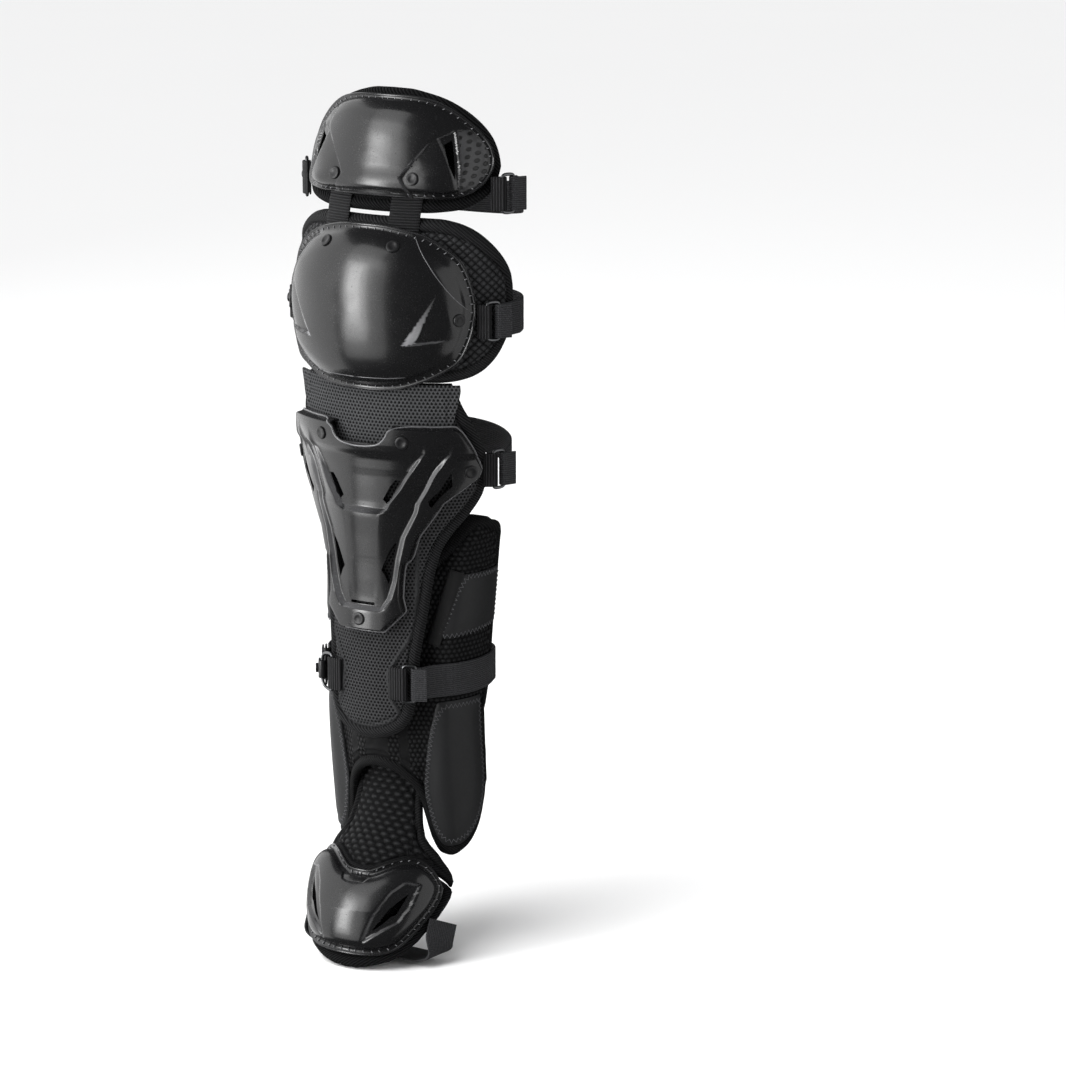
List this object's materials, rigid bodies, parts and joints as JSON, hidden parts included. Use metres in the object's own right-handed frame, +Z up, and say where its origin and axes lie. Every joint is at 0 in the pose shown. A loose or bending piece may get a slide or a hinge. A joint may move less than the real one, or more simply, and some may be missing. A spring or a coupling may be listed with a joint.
{
  "type": "catcher leg guard",
  "caption": "Baseball catcher's leg guard for the right leg: glossy thigh, knee, shin and toe shells on quilted pads, with calf and ankle wings and hooked elastic straps.",
  "frame": {"origin": "middle of the knee pad's inner face, where it rests against the knee cap", "axes": "+Z up the leg, -Y the front that meets the ball, +X the inner side of the wearer's right leg"},
  "size_m": [0.2052, 0.1739, 0.6731],
  "materials": {
    "gloss_shell": "polished injection-moulded shell",
    "pad_cloth": "dark woven cover over foam",
    "mesh_cloth": "open knitted mesh",
    "panel_film": "smooth coated cloth",
    "webbing": "ribbed webbing",
    "elastic": "flat woven elastic",
    "black_plastic": "moulded plastic",
    "bare_wire": "nickel-plated wire and strip"
  },
  "bodies": {
    "root": {"ankle_hook": "black_plastic", "ankle_panel_inner": "panel_film", "ankle_panel_outer": "panel_film", "ankle_ring": "bare_wire", "ankle_ring_tab": "webbing", "ankle_slide": "bare_wire", "ankle_slide_tab": "webbing", "ankle_strap": "elastic", "calf_hook": "black_plastic", "calf_panel_inner": "panel_film", "calf_panel_outer": "panel_film", "calf_ring": "bare_wire", "calf_ring_tab": "webbing", "calf_slide": "bare_wire", "calf_slide_tab": "webbing", "calf_strap": "elastic", "foot_flap": "mesh_cloth", "hinge_web_inner": "webbing", "hinge_web_outer": "webbing", "knee_hook": "black_plastic", "knee_pad": "pad_cloth", "knee_ring": "bare_wire", "knee_ring_tab": "webbing", "knee_rivet_side_inner": "black_plastic", "knee_rivet_side_outer": "black_plastic", "knee_rivet_top_inner": "black_plastic", "knee_rivet_top_outer": "black_plastic", "knee_shell": "gloss_shell", "knee_slide": "bare_wire", "knee_slide_tab": "webbing", "knee_strap": "elastic", "liner": "pad_cloth", "shin_band": "mesh_cloth", "shin_pad": "pad_cloth", "shin_rivet_bottom": "black_plastic", "shin_rivet_side_inner": "black_plastic", "shin_rivet_side_outer": "black_plastic", "shin_rivet_top_inner": "black_plastic", "shin_rivet_top_outer": "black_plastic", "shin_shell": "gloss_shell", "thigh_hook": "black_plastic", "thigh_pad": "pad_cloth", "thigh_ring": "bare_wire", "thigh_ring_tab": "webbing", "thigh_rivet_inner": "black_plastic", "thigh_rivet_outer": "black_plastic", "thigh_shell": "gloss_shell", "thigh_slide": "bare_wire", "thigh_slide_tab": "webbing", "thigh_strap": "elastic", "toe_pad": "pad_cloth", "toe_shell": "gloss_shell", "toe_strap": "elastic"}
  },
  "joints": []
}
